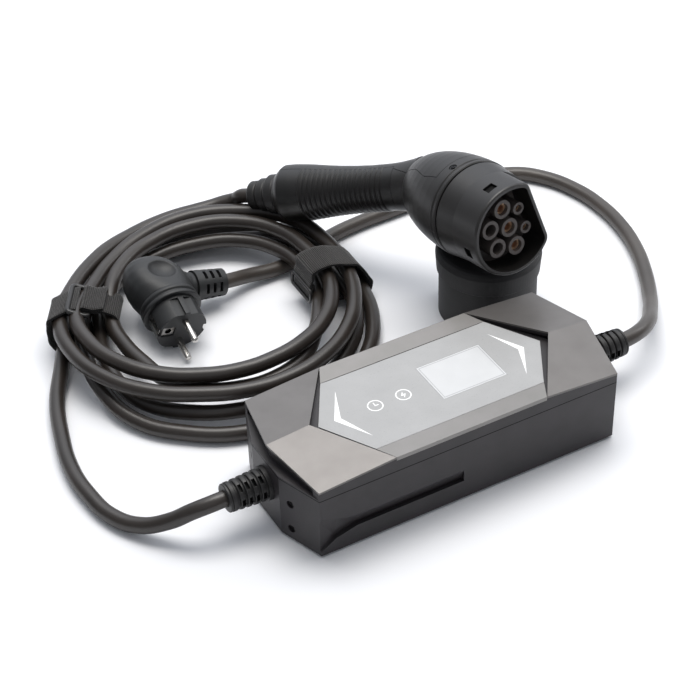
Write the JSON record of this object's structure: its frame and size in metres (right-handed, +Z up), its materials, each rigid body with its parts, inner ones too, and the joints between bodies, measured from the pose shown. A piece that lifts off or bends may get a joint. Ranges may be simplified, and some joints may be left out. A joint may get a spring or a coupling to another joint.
{
  "type": "portable electric vehicle charger",
  "caption": "Faceted control box with touch panel, strapped coil of cable, seven-way vehicle connector with dust cap, and an angled earthed mains plug.",
  "frame": {"origin": "middle of the control box's underside", "axes": "+X along the control box towards the mains cable's end, +Y from the box towards the coil, +Z up from the surface that everything stands on"},
  "size_m": [0.4787, 0.3545, 0.1322],
  "materials": {
    "housing_plastic": "fine-grained charcoal moulding",
    "silver_plate": "satin silver-grey",
    "frame_silver": "satin light silver",
    "panel_grey": "smooth light grey sheet",
    "display_white": "blank white display",
    "print_white": "white print",
    "relief_rubber": "matte black",
    "seal_rubber": "matte black",
    "nut_grey": "plain",
    "screw_steel": "plated",
    "board_green": "solder resist",
    "relay_blue": "moulded case",
    "sensor_black": "potted",
    "supply_yellow": "wrapped",
    "terminal_green": "moulded",
    "gun_plastic": "fine-grained near-black moulding",
    "grip_rubber": "satin black overmould",
    "cap_rubber": "matte black",
    "contact_brass": "turned",
    "pin_nickel": "nickel plate",
    "plug_plastic": "matte dark slate",
    "cable_rubber": "satin warm dark grey sheath",
    "strap_fabric": "woven black hook-and-loop tape",
    "loop_plastic": "moulded loop"
  },
  "bodies": {
    "root": {"base_shell": "housing_plastic", "cover_shell": "housing_plastic", "seam_gasket": "seal_rubber", "end_plate_left": "silver_plate", "end_plate_right": "silver_plate", "centre_frame": "frame_silver", "touch_panel": "panel_grey", "display_window": "display_white", "panel_chevrons": "print_white", "touch_rings": "print_white", "strain_relief_left": "relief_rubber", "strain_relief_right": "relief_rubber", "relief_nuts": "nut_grey", "end_screws": "screw_steel", "main_board": "board_green", "relays": "relay_blue", "current_sensor": "sensor_black", "power_supply": "supply_yellow", "terminal_block": "terminal_green", "cable_saddles": "sensor_black", "display_board": "board_green", "display_module": "display_white", "gun_shell": "gun_plastic", "gun_top_cover": "gun_plastic", "gun_grip": "grip_rubber", "gun_nose": "gun_plastic", "nose_seal": "seal_rubber", "contact_block": "gun_plastic", "power_contacts": "contact_brass", "pilot_contacts": "contact_brass", "gun_gland": "grip_rubber", "gun_screw": "screw_steel", "dust_cap": "cap_rubber", "plug_body": "plug_plastic", "plug_insert": "plug_plastic", "plug_pins": "pin_nickel", "plug_earth_contact": "pin_nickel", "plug_strain_relief": "plug_plastic", "gun_cable_lead": "cable_rubber", "gun_cable_coil": "cable_rubber", "gun_cable_tail": "cable_rubber", "plug_cable": "cable_rubber", "strap_left": "strap_fabric", "strap_right": "strap_fabric", "strap_loops": "loop_plastic"}
  },
  "joints": []
}
